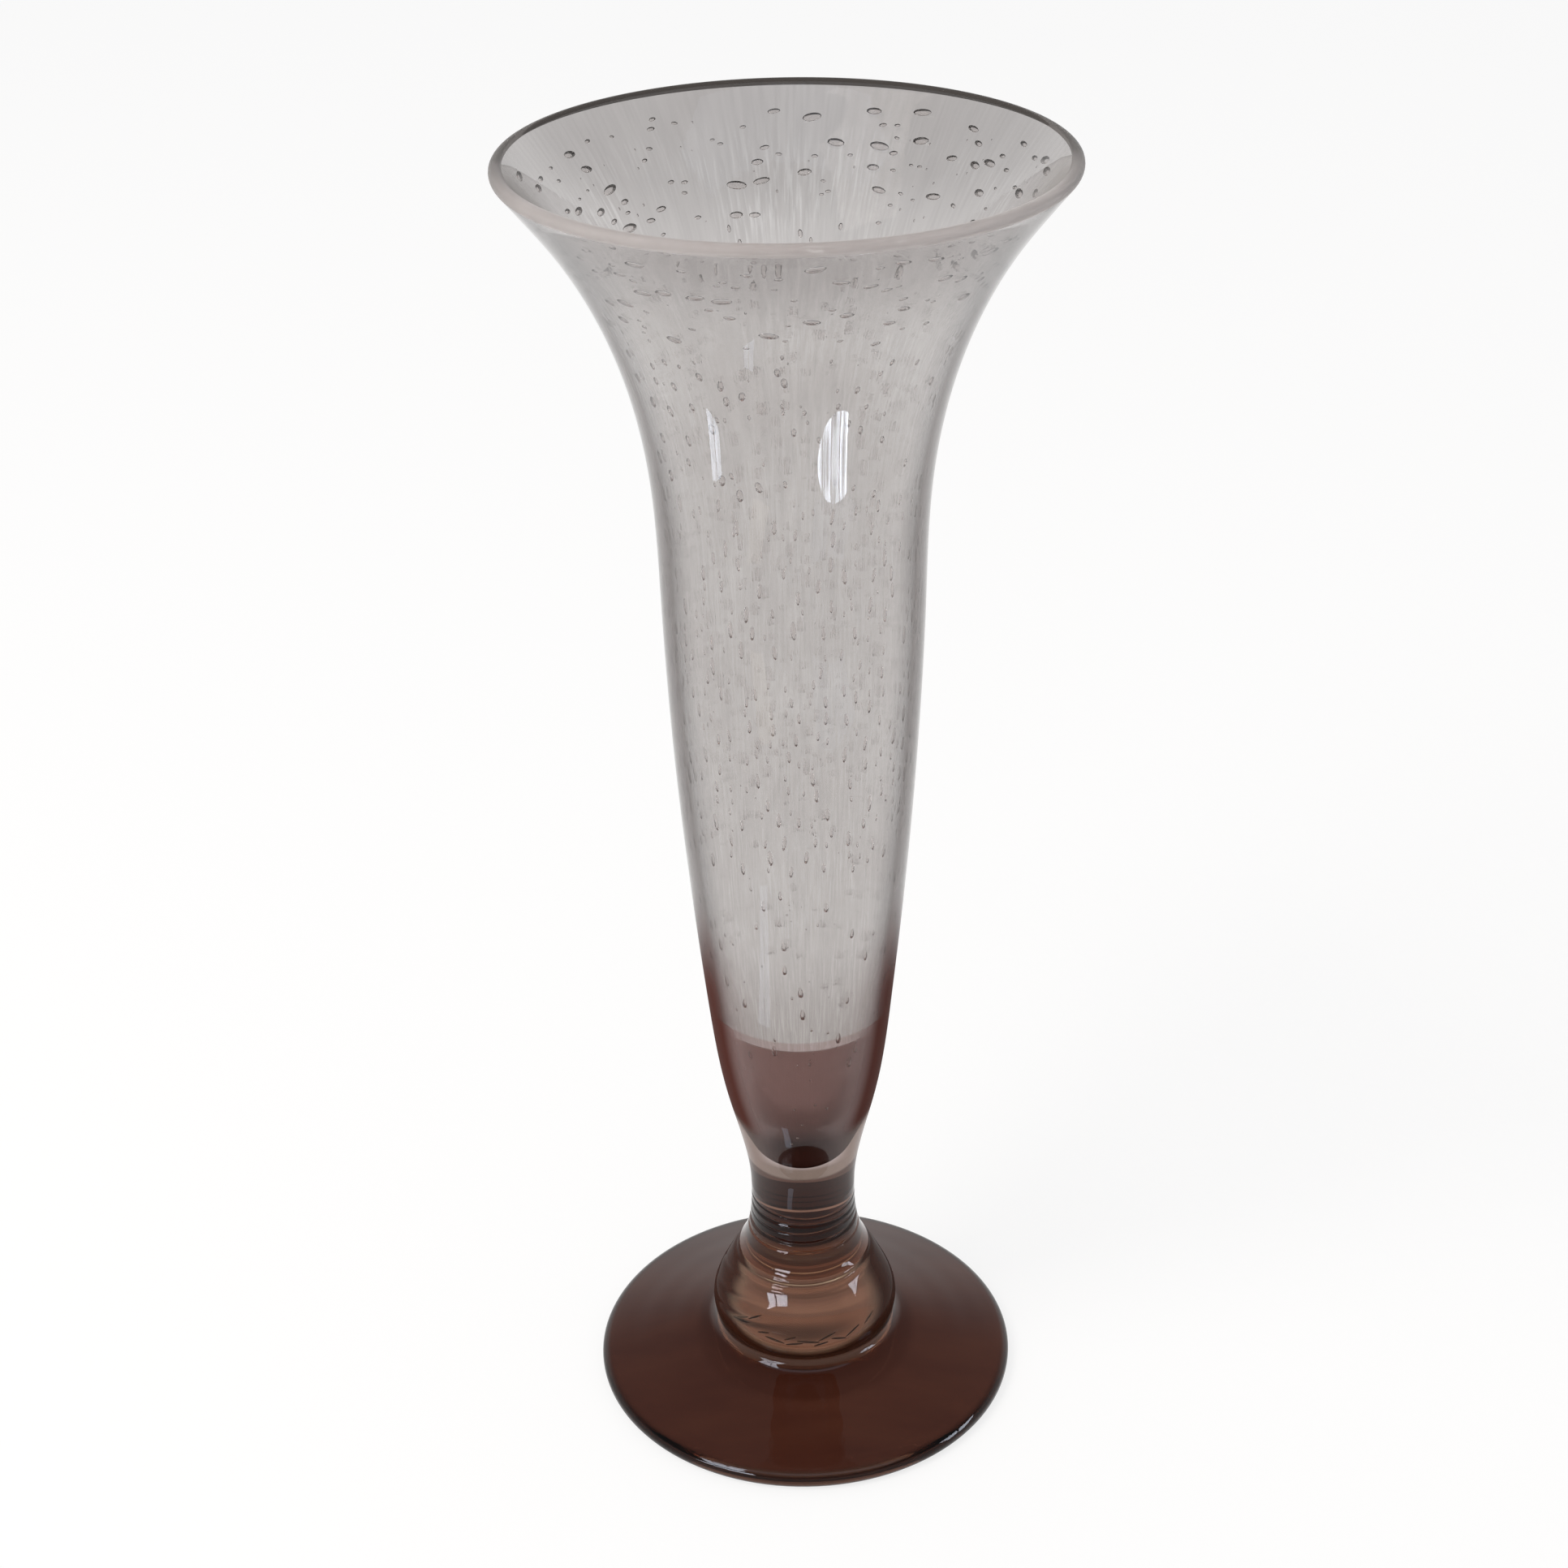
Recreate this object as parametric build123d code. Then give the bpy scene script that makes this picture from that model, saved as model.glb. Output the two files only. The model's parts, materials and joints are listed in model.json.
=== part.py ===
from build123d import *
import math
import os

# Footed trumpet vase of bubble glass, built from five gathers of glass fused end to end.
# Millimetres. The Z axis is the axis of the vase, and Z = 0 is the surface that it stands on.

# Foot: a broad disc that rises gently to the knop, hollow underneath
foot_radius = 50.0
foot_edge_round = 2.0       # of the edge's upper and lower corner
foot_edge_straight = 0.4    # upright stretch of the edge between the two
foot_rise = 7.1             # from the edge's upper face to the start of the fillet beside the knop
foot_fillet_width = 2.6     # the fillet's reach outwards from the knop
foot_fillet_height = 3.0
stand_ring_width = 7.5      # flat ring on the underside that touches the table
underside_hollow = 5.0      # depth of the hollow at the axis
hollow_lean = 14.0          # degrees that the hollow rises from the stand ring

# Base knop: the bulging button of glass on the foot
knop_weld_radius = 21.3     # shared with the foot's top
knop_weld_lean = 24.0       # degrees that the side leans outwards there
knop_bulge_radius = 22.2
knop_bulge_rise = 4.0       # weld to the widest place
knop_shoulder_rise = 8.0    # widest place to the shoulder
knop_shoulder_radius = 19.6
knop_neck_rise = 7.5        # shoulder to the stem

# Ringed stem: short solid neck with tool rings turned into it
stem_weld_radius = 15.6     # shared with the top of the knop
stem_weld_lean = 31.0       # degrees that the side leans inwards there
stem_length = 18.0
stem_ring_pitch = 2.3       # between the tool marks, along the stem's side
stem_ring_width = 1.3       # of one tool mark
stem_ring_depth = 0.35
stem_plain_low = 6.0        # plain stretch of the side between the knop and the lowest mark
stem_plain_high = 1.6       # and the least between the highest mark and the neck

# Bowl: outer radius at each station, and the rise from the station below
neck_radius = 12.35         # shared with the top of the stem
well_rise = 12.0
well_radius = 13.85
hip_rise = 16.0
hip_radius = 17.65
belly_rise = 24.0
belly_radius = 21.05
body_rise = 46.0
body_radius = 25.3
chest_rise = 54.0
chest_radius = 28.05
waist_rise = 28.0
waist_radius = 29.35
flare_rise = 24.0
flare_radius = 34.15
trumpet_rise = 28.0
trumpet_radius = 47.5
lip_rise = 13.3
lip_radius = 57.7
lip_lean = 38.0             # degrees that the wall leans outwards at the lip
lip_thickness = 2.9

# Thickness of the second gather at the same stations, measured across the axis
outer_wall_hip = 4.95
outer_wall_belly = 2.45
outer_wall_body = 2.2
outer_wall_chest = 1.6
outer_wall_flare = 1.7

# First gather: an even skin with a round-bottomed well
inner_wall = 1.4
well_floor = 9.5            # solid glass from the stem's weld to the bottom of the well
well_tip_radius = 6.3
well_tip_lean = 20.0        # degrees from the axis where the round bottom runs into the wall

# Heights of the weld faces and stations
foot_edge_thickness = 2 * foot_edge_round + foot_edge_straight
foot_top = foot_edge_thickness + foot_rise + foot_fillet_height
knop_bulge_height = foot_top + knop_bulge_rise
knop_shoulder_height = knop_bulge_height + knop_shoulder_rise
knop_top = knop_shoulder_height + knop_neck_rise
neck_height = knop_top + stem_length
well_height = neck_height + well_rise
hip_height = well_height + hip_rise
belly_height = hip_height + belly_rise
body_height = belly_height + body_rise
chest_height = body_height + chest_rise
waist_height = chest_height + waist_rise
flare_height = waist_height + flare_rise
trumpet_height = flare_height + trumpet_rise
lip_height = trumpet_height + lip_rise


def at(radius, height):
    """A point of the half outline, in the XZ plane."""
    return Vector(radius, 0, height)


def leaning(degrees):
    """The way that points up the half outline, leaning outwards from the axis by so many degrees."""
    lean = math.radians(degrees)
    return at(math.sin(lean), math.cos(lean))


def turned(*outline):
    """The solid of revolution about the axis of the vase from a closed half outline."""
    return revolve(make_face(outline), axis=Axis.Z)


# Ways along the half outline
UP = leaning(0)
INWARDS = leaning(-90)
STEM_WAY = leaning(-stem_weld_lean)
LIP_WAY = leaning(lip_lean)
ACROSS_LIP = leaning(lip_lean - 90)    # square to the wall, towards the inside of the mouth

# Corners of the lip
lip_outer = at(lip_radius, lip_height)
lip_inner = lip_outer + ACROSS_LIP * lip_thickness
lip_centre = (lip_outer + lip_inner) * 0.5
lip_crown = lip_centre + LIP_WAY * (lip_thickness / 2)


def lip_round(start):
    """Quarter round of the fire-polished lip, from one side of the wall to its crown."""
    halfway = ((start - lip_centre) + (lip_crown - lip_centre)).normalized() * (lip_thickness / 2)
    return ThreePointArc(start, lip_centre + halfway, lip_crown)


def well_outline(depth, end):
    """Half outline of the well at a depth in the glass: a round bottom, then the wall up to the lip."""
    tip = well_tip_radius + depth
    centre = neck_height + well_floor + well_tip_radius
    low = math.radians(-90 + (90 - well_tip_lean) / 2)
    lean = math.radians(well_tip_lean)
    bottom = at(0, centre - tip)
    low_point = at(tip * math.cos(low), centre + tip * math.sin(low))
    wall_start = at(tip * math.cos(lean), centre - tip * math.sin(lean))
    walls = [
        (hip_radius - outer_wall_hip, hip_height),
        (belly_radius - outer_wall_belly, belly_height),
        (body_radius - outer_wall_body, body_height),
        (chest_radius - outer_wall_chest, chest_height),
        (waist_radius - outer_wall_chest, waist_height),
        (flare_radius - outer_wall_flare, flare_height),
        (trumpet_radius - outer_wall_flare, trumpet_height),
    ]
    stations = [at(radius - inner_wall + depth, height) for radius, height in walls]
    wall = Spline(wall_start, *stations, end, tangents=(leaning(well_tip_lean), LIP_WAY))
    return bottom, ThreePointArc(bottom, low_point, wall_start), wall


def inner_gather():
    """The blown inner skin of the bowl, which holds the well."""
    well_bottom, well_round, well_wall = well_outline(0, lip_inner)
    skin_bottom, skin_round, skin_wall = well_outline(inner_wall, lip_crown)
    axis_side = Line(skin_bottom, well_bottom)
    return turned(axis_side, well_round, well_wall, lip_round(lip_inner), skin_wall, skin_round)


def outer_gather():
    """The second gather over the inner skin, from the solid neck to the outer half of the lip."""
    skin_bottom, skin_round, skin_wall = well_outline(inner_wall, lip_crown)
    stations = [
        at(neck_radius, neck_height),
        at(well_radius, well_height),
        at(hip_radius, hip_height),
        at(belly_radius, belly_height),
        at(body_radius, body_height),
        at(chest_radius, chest_height),
        at(waist_radius, waist_height),
        at(flare_radius, flare_height),
        at(trumpet_radius, trumpet_height),
        lip_outer,
    ]
    outside = Spline(*stations, tangents=(UP, LIP_WAY))
    weld = Line(at(0, neck_height), at(neck_radius, neck_height))
    axis_side = Line(at(0, neck_height), skin_bottom)
    return turned(weld, outside, lip_round(lip_outer), skin_wall, skin_round, axis_side)


def ringed_stem():
    """The short solid stem, with the rings that the tool leaves as it turns."""
    knop_end = at(stem_weld_radius, knop_top)
    neck_end = at(neck_radius, neck_height)
    side = Spline(knop_end, neck_end, tangents=(STEM_WAY, UP))
    marked = side.length - stem_plain_low - stem_plain_high - stem_ring_width
    ring_count = int(marked / stem_ring_pitch) + 1
    outline = []
    land_start = knop_end
    for ring in range(ring_count):
        mark_from = stem_plain_low + ring * stem_ring_pitch
        low = side @ (mark_from / side.length)
        high = side @ ((mark_from + stem_ring_width) / side.length)
        across = (high - low).normalized()
        dip = (low + high) * 0.5 + at(-across.Z, across.X) * stem_ring_depth
        outline.append(side.trim(land_start, low))
        outline.append(ThreePointArc(low, dip, high))
        land_start = high
    outline.append(side.trim(land_start, neck_end))
    return turned(
        Line(at(0, knop_top), knop_end),
        *outline,
        Line(neck_end, at(0, neck_height)),
        Line(at(0, neck_height), at(0, knop_top)),
    )


def base_knop():
    """The bulging button of glass between the stem and the foot."""
    foot_end = at(knop_weld_radius, foot_top)
    stem_end = at(stem_weld_radius, knop_top)
    side = Spline(
        foot_end,
        at(knop_bulge_radius, knop_bulge_height),
        at(knop_shoulder_radius, knop_shoulder_height),
        stem_end,
        tangents=(leaning(knop_weld_lean), STEM_WAY),
    )
    return turned(
        Line(at(0, foot_top), foot_end),
        side,
        Line(stem_end, at(0, knop_top)),
        Line(at(0, knop_top), at(0, foot_top)),
    )


def foot_disc():
    """The round foot: rounded edge, gently rising top, fillet up to the knop, hollow underneath."""
    top_centre = at(0, foot_top)
    top_edge = at(knop_weld_radius, foot_top)
    fillet_end = at(knop_weld_radius + foot_fillet_width, foot_edge_thickness + foot_rise)
    edge_in = foot_radius - foot_edge_round
    upper_edge = at(edge_in, foot_edge_thickness)
    rim_upper = at(foot_radius, foot_edge_thickness - foot_edge_round)
    rim_lower = at(foot_radius, foot_edge_round)
    lower_edge = at(edge_in, 0)
    stand_inner = at(edge_in - stand_ring_width, 0)
    hollow_top = at(0, underside_hollow)
    slope = (upper_edge - fillet_end).normalized()
    return turned(
        Line(top_centre, top_edge),
        Spline(top_edge, fillet_end, tangents=(-UP, slope)),
        Line(fillet_end, upper_edge),
        Spline(upper_edge, rim_upper, tangents=(slope, -UP)),
        Line(rim_upper, rim_lower),
        Spline(rim_lower, lower_edge, tangents=(-UP, INWARDS)),
        Line(lower_edge, stand_inner),
        Spline(stand_inner, hollow_top, tangents=(leaning(hollow_lean - 90), INWARDS)),
        Line(hollow_top, top_centre),
    )


os.makedirs("parts", exist_ok=True)
for piece in (inner_gather, outer_gather, ringed_stem, base_knop, foot_disc):
    solid = piece()
    export_step(solid, f"parts/{piece.__name__}.step")
    box = solid.bounding_box()
    print(f"{piece.__name__}: {solid.volume:.0f} mm3, from Z {box.min.Z:.2f} to {box.max.Z:.2f}")
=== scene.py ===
# %% [markdown]
# # A footed trumpet vase of bubble glass
# The vase is blown and built hot: a bubbly bowl, a short tooled stem, a bulging knop and a round foot,
# each a gather of glass that is fused to the next. The imported model gives every piece its place and its
# size. This lesson gives each piece a closed glass mesh of its own, with the bubbles, tool rings and
# folds that show inside the glass. Real refraction then draws the outlines of the bubbles and tool rings.
# The folds are dark matt shells, painted shade, and where the glass is seen along, painted shade darkens it.

# %% Load the imported model
import json
import math

import bmesh
import bpy
import numpy as np
from mathutils import Matrix, Vector

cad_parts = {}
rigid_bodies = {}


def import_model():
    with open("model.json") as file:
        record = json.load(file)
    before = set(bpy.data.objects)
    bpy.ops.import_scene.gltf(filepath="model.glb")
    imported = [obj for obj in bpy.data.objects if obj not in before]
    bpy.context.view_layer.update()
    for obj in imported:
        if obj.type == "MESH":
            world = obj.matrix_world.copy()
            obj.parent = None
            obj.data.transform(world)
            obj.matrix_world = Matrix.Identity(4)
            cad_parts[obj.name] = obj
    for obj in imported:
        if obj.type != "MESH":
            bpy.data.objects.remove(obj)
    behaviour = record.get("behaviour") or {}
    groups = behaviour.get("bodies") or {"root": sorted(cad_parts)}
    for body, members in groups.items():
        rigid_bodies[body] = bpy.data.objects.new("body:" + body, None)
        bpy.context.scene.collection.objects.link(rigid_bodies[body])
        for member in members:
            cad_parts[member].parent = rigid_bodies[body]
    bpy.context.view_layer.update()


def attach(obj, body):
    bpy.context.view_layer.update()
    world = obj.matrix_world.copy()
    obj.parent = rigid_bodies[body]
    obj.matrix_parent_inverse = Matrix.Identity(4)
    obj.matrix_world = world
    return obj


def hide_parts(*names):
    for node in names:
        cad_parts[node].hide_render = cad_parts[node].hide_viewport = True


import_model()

# %% [markdown]
# ## Units, colours and nodes
# Sizes below are written in millimetres, as on a workshop drawing, and turned to metres when a mesh is
# made. Colours are sRGB hex values, as a colour picker shows them. Blender mixes light in linear values,
# so one function turns them. One more adds a node to a material, with its settings and what feeds it.

# %% Helpers for units, colours and nodes
MM = 0.001


def linear(hex_colour):
    """The linear RGBA of an sRGB hex colour such as #C8C4C2."""
    shares = [int(hex_colour[i:i + 2], 16) / 255 for i in (1, 3, 5)]
    return [s / 12.92 if s <= 0.04045 else ((s + 0.055) / 1.055) ** 2.4 for s in shares] + [1.0]


def add_node(tree, kind, feeds=None, stops=None, **settings):
    """Adds a shader node of a kind. settings are its properties. feeds are its inputs: a value, an output to
    link, or a node, of which the first output in use is linked. stops are the places and hex colours of a
    colour ramp."""
    node = tree.nodes.new("ShaderNode" + kind)
    for name, value in settings.items():
        setattr(node, name, value)
    for name, value in (feeds or {}).items():
        if isinstance(value, bpy.types.Node):
            value = next(output for output in value.outputs if output.enabled)
        if isinstance(value, bpy.types.NodeSocket):
            tree.links.new(value, node.inputs[name])
        else:
            node.inputs[name].default_value = value
    for i, (place, colour) in enumerate(stops or []):
        elements = node.color_ramp.elements
        stop = elements[i] if i < len(elements) else elements.new(place)
        stop.position = place
        stop.color = linear(colour)
    return node


def new_material(name):
    """An empty node material, and its tree."""
    material = bpy.data.materials.new(name)
    material.use_nodes = True
    material.node_tree.nodes.clear()
    return material, material.node_tree


soft_step = {"interpolation_type": "SMOOTHSTEP"}  # settings that many nodes share
mixed = {"data_type": "RGBA", "blend_type": "MIX"}
darkened = {"data_type": "RGBA", "blend_type": "MULTIPLY"}
times = {"operation": "MULTIPLY"}
print("mid grey in linear values:", [round(v, 3) for v in linear("#808080")[:3]])

# %% [markdown]
# ## Camera
# The camera looks down at the vase from a little over arm's length. Its focal length in pixels, its place
# and its three angles were found by laying the ellipses of the mouth and the foot over the photograph.

# %% Camera at the photograph's angle
photo_side = 1932  # pixels
focal_pixels = 3375
camera_place = (0.0, -524.9, 450.4)
camera_pitch = 29.0  # degrees below the horizon
camera_yaw = 0.298  # degrees to the left
camera_roll = -1.069

scene = bpy.context.scene
camera = bpy.data.objects.new("camera", bpy.data.cameras.new("camera"))
scene.collection.objects.link(camera)
camera.data.sensor_width = 36.0
camera.data.lens = focal_pixels / photo_side * camera.data.sensor_width
camera.data.clip_start = 0.01
turn = Matrix.Rotation(math.radians(camera_yaw), 4, "Z")
tip = Matrix.Rotation(math.radians(90 - camera_pitch), 4, "X")
roll = Matrix.Rotation(math.radians(camera_roll), 4, "Z")
camera.matrix_world = Matrix.Translation([MM * c for c in camera_place]) @ turn @ tip @ roll
scene.camera = camera
scene.view_settings.view_transform = "Standard"
print("lens:", round(camera.data.lens, 1), "mm")

# %% [markdown]
# ## Studio
# Clear glass shows what is behind it, so the studio is half of the look. The floor is white paper and
# keeps the soft shadow of the vase. To the camera, and to rays that pass through glass or bounce off it,
# most of the paper's brightness is its own, so the background is white. The backdrop is white up to some
# way above the horizon and dimmer above it. Edges and bubbles bend rays up into the dim part, and so they
# show dark.

# %% Floor and backdrop
floor_half = 4000
floor_drop = 0.2  # keeps the paper just clear of the foot's flat ring
floor_own_share = 0.7  # share of the paper's brightness that no shadow takes away
floor_own_glow = 1.1
backdrop_top = 0.25  # sine of the angle up to which the backdrop is white
ceiling_from = 0.6  # and from which the ceiling has its own tone
ceiling_tone = "#A3A4A6"
room_light = 0.62  # of the whole room on matt things


def backdrop_rays(tree):
    """1 for rays from the camera and those that glass or gloss has sent on, 0 for light on matt things."""
    path = add_node(tree, "LightPath")
    bent = add_node(tree, "Math", operation="ADD", use_clamp=True, feeds={
        0: path.outputs["Is Glossy Ray"], 1: path.outputs["Is Transmission Ray"]})
    return add_node(tree, "Math", operation="ADD", use_clamp=True, feeds={
        0: path.outputs["Is Camera Ray"], 1: bent})


def white_background_paper():
    """Matt paper: flat white, with a soft edge to every shadow."""
    material, tree = new_material("matt white background paper")
    paper = add_node(tree, "BsdfDiffuse", {"Color": linear("#F4F3F2")})
    glow = add_node(tree, "Emission", {"Color": linear("#FFFFFF"), "Strength": floor_own_glow})
    shown = add_node(tree, "MixShader", {0: floor_own_share, 1: paper, 2: glow})
    surface = add_node(tree, "MixShader", {0: backdrop_rays(tree), 1: paper, 2: shown})
    add_node(tree, "OutputMaterial", {"Surface": surface})
    return material


floor_mesh = bpy.data.meshes.new("floor")
floor_corners = [(floor_half * x * MM, floor_half * y * MM, -floor_drop * MM)
                 for x, y in ((-1, -1), (1, -1), (1, 1), (-1, 1))]
floor_mesh.from_pydata(floor_corners, [], [(0, 1, 2, 3)])
floor_mesh.materials.append(white_background_paper())
floor = bpy.data.objects.new("floor", floor_mesh)
scene.collection.objects.link(floor)

scene.world = bpy.data.worlds.new("studio")
scene.world.use_nodes = True
room = scene.world.node_tree
room.nodes.clear()
way = add_node(room, "TexCoord").outputs["Generated"]
upward = add_node(room, "SeparateXYZ", {0: way}).outputs["Z"]
rise = add_node(room, "MapRange", {
    "Value": upward, "From Min": backdrop_top, "From Max": ceiling_from}, **soft_step)
tone = add_node(room, "Mix", {0: rise, 6: linear("#FFFFFF"), 7: linear(ceiling_tone)}, **mixed)
backdrop = add_node(room, "Background", {"Color": tone, "Strength": 1.0})
soft_light = add_node(room, "Background", {"Color": linear("#F4F5F7"), "Strength": room_light})
room_shown = add_node(room, "MixShader", {0: backdrop_rays(room), 1: soft_light, 2: backdrop})
add_node(room, "OutputWorld", {"Surface": room_shown})
print("floor", 2 * floor_half, "mm wide, backdrop white up to",
      round(math.degrees(math.asin(backdrop_top))), "degrees above the horizon")

# %% [markdown]
# A large soft lamp above and to the left gives the shadow its side. Glass also needs something bright to
# mirror: a skylight, small cards that stand in for windows, each where one piece mirrors it to the
# camera, and faint patches in front of the vase. They only show in reflections, on their lit side, and
# light nothing else.

# %% Lamp, windows and patches
daylight = "#E4ECFB"
sunlight = "#FFF3E2"
dapple_noise = (0.36, 0.64)  # of the dimmest and of the brightest patches
dapple_dimmest = 0.1  # share of the glow in the dimmest


def only_in_reflections(holder):
    holder.visible_camera = False
    holder.visible_diffuse = False
    holder.visible_transmission = False
    holder.visible_shadow = False


def add_panes(name, corner, side, up, columns, rows, glow, tone=daylight, dapple=None):
    """A window of lit panes from one corner and its two edges, with bars between the panes. It shines towards
    the side that the first edge, turned to the second, screws to. dapple is the size of the patches that its
    light is broken into. Sizes are in millimetres."""
    corner, side, up = (np.array(v, float) for v in (corner, side, up))
    bar = 0.06  # half a bar's width, as a share of a pane
    points = []
    faces = []
    for column in range(columns):
        for row in range(rows):
            first = len(points)
            for i, j in ((bar, bar), (1 - bar, bar), (1 - bar, 1 - bar), (bar, 1 - bar)):
                points.append(MM * (corner + side * (column + i) / columns + up * (row + j) / rows))
            faces.append([first, first + 1, first + 2, first + 3])
    mesh = bpy.data.meshes.new(name)
    mesh.from_pydata([tuple(p) for p in points], [], faces)
    material, tree = new_material("light in " + name)
    if dapple:
        place = add_node(tree, "TexCoord").outputs["Object"]
        shade = add_node(tree, "TexNoise", {"Vector": place, "Scale": 1 / (dapple * MM), "Detail": 2.0})
        glow = add_node(tree, "MapRange", {
            "Value": shade, "From Min": dapple_noise[0], "From Max": dapple_noise[1],
            "To Min": dapple_dimmest * glow, "To Max": glow})
    lit = add_node(tree, "Emission", {"Color": linear(tone), "Strength": glow})
    unlit = add_node(tree, "BsdfTransparent")
    back = add_node(tree, "NewGeometry").outputs["Backfacing"]
    one_sided = add_node(tree, "MixShader", {0: back, 1: lit, 2: unlit})
    add_node(tree, "OutputMaterial", {"Surface": one_sided})
    mesh.materials.append(material)
    panes = bpy.data.objects.new(name, mesh)
    scene.collection.objects.link(panes)
    only_in_reflections(panes)
    return panes


key = bpy.data.lights.new("key_lamp", "AREA")
key.size = 0.9
key.energy = 14.0
key.color = linear("#FFF9F2")[:3]
key_holder = bpy.data.objects.new("key_lamp", key)
scene.collection.objects.link(key_holder)
key_place = Vector((-0.9, -0.7, 1.5))
key_aim = Vector((0, 0, 0.1)) - key_place
key_turn = key_aim.to_track_quat("-Z", "Y").to_matrix().to_4x4()
key_holder.matrix_world = Matrix.Translation(key_place) @ key_turn
key_holder.visible_camera = False
key_holder.visible_glossy = False

add_panes("skylight_window", (1000, -800, 1300), (-2000, 0, 0), (0, 450, 0), 1, 1, 2.0)
add_panes("edge_card", (-188, -101, 200), (110, -5, 0), (-90, -140, 0), 3, 1, 20.0)
add_panes("knop_high_card", (-44, -92, 60), (-43, 0, 0), (0, 15, 0), 2, 1, 32.0)
add_panes("knop_low_card", (-58, -150, 60), (-100, 0, 0), (12, 42, 0), 2, 1, 30.0)
add_panes("knop_right_card", (105, -10, 50), (165, -41, 0), (-12, -48.5, 0), 1, 2, 20.0)
add_panes("neck_card", (-21, -35.7, 20), (-8, -8, 0), (8.9, -3.6, 0), 1, 1, 3.0)
add_panes("right_card", (41.3, -55.7, 205), (-24.0, -12.2, 0), (2.5, -6.0, 0), 4, 1, 40.0, dapple=3.0)
add_panes("left_card", (-51.4, -49.8, 205), (-6.4, 7.5, 0), (-3.0, -2.4, 0), 2, 1, 20.0, dapple=2.0)
add_panes("flare_card", (-62, -66, 150), (124, 0, 0), (0, 38, 0), 1, 1, 1.0, "#FFFFFF")
add_panes("right_faint_patch", (90, -395, 1), (180, 95, 0), (0, 112, 0), 2, 1, 2.0)
add_panes("left_faint_patch", (-249, -316, 1), (75, -42, 0), (90, 60, 0), 1, 1, 3.0, sunlight)
add_panes("left_strip", (-30, -47, 70), (-12.5, 9, 0), (-30, -60, 0), 2, 1, 4.0)
mirrored = [holder.name for holder in scene.objects
            if holder.name.endswith(("window", "strip", "card", "patch"))]
print("things to mirror:", mirrored)

# %% [markdown]
# ## Outlines
# Every piece is turned about the axis, so its shape is one half outline. The blower shapes the bowl at a
# few places, and the hot glass draws a smooth line between them. A cubic spline with a chosen lean at
# both ends does the same, from the radius and height at those places.

# %% Smooth half outlines
def leaning(degrees):
    """The way that points up an outline and leans outwards by so many degrees, as (radius, height)."""
    return np.array([math.sin(math.radians(degrees)), math.cos(math.radians(degrees))])


def smooth_line(points, start_way, end_way, step):
    """Points about every step millimetres on the cubic spline through the given (radius, height) points."""
    points = np.array(points, float)
    span = np.linalg.norm(np.diff(points, axis=0), axis=1)
    system = np.eye(len(points))
    wanted = np.array([start_way, *points[1:-1], end_way])
    for i in range(1, len(points) - 1):
        before, after = span[i - 1], span[i]
        system[i, i - 1:i + 2] = after, 2 * (before + after), before
        wanted[i] = 3 * (after / before * (points[i] - points[i - 1])
                         + before / after * (points[i + 1] - points[i]))
    ways = np.linalg.solve(system, wanted)
    line = [points[:1]]
    for i, length in enumerate(span):
        far = np.linspace(0, 1, max(2, round(length / step) + 1))[1:, None]
        near = 1 - far
        line.append(near**2 * (1 + 2 * far) * points[i] + far**2 * (1 + 2 * near) * points[i + 1]
                    + length * near * far * (near * ways[i] - far * ways[i + 1]))
    return np.concatenate(line)


def round_line(centre, radius, start, end, count):
    """Points on a round stretch of an outline, between two angles in degrees from straight out."""
    angles = np.radians(np.linspace(start, end, count))
    return np.stack([centre[0] + radius * np.cos(angles), centre[1] + radius * np.sin(angles)], 1)


neck = (12.35, 52.0)  # radius and height where the bowl is fused to the stem
lip = (57.7, 297.29)
lip_lean = 38.0
lip_thickness = 2.9
bowl_places = [neck, (13.85, 64), (17.65, 80), (21.05, 104), (25.3, 150), (28.05, 204), (29.35, 232),
               (34.15, 256), (47.5, 284), lip]
bowl_wall = {80: 6.35, 104: 3.85, 150: 3.6, 204: 3.0, 232: 3.0, 256: 3.1, 284: 3.1}  # by height
well_tip = 6.3  # radius of the well's round bottom
well_tip_height = 67.8  # of its centre
well_tip_lean = 20.0

bowl_outside = smooth_line(bowl_places, leaning(0), leaning(lip_lean), 2.4)
across_lip = leaning(lip_lean - 90) * lip_thickness
lip_round = round_line(lip + across_lip / 2, lip_thickness / 2, -lip_lean, 180 - lip_lean, 15)
well_round = round_line((0, well_tip_height), well_tip, -90, -well_tip_lean, 12)
inside_places = [(radius - bowl_wall[height], height)
                 for radius, height in bowl_places if height in bowl_wall]
bowl_inside = smooth_line(
    [well_round[-1], *inside_places, lip + across_lip], leaning(well_tip_lean), leaning(lip_lean), 2.4)
print("bowl:", len(bowl_outside), "rows outside,", len(bowl_inside), "inside")

# %% [markdown]
# ## Turning an outline into a closed mesh
# A lathe copies the outline round the axis. Hand work is never quite round, so each point is drawn in by
# a small, slowly changing amount. Pieces that meet use the same amount at the same place, so they still
# meet. Faces are kept in named finishes, because the weld inside the glass must not bend light as its
# skin does.

# %% The lathe
segments = 128
unevenness = 0.16  # most that the hand-made surface falls short of a true turn, millimetres


def hand(angle, height):
    """How far the surface falls inside a true turn, millimetres."""
    slow = np.sin(2 * angle + 0.021 * height + 0.7) + np.sin(3 * angle - 0.034 * height)
    quick = 0.5 * np.sin(5 * angle + 0.11 * height + 2.0)
    return unevenness * (2.5 + slow + quick) / 5


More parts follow.
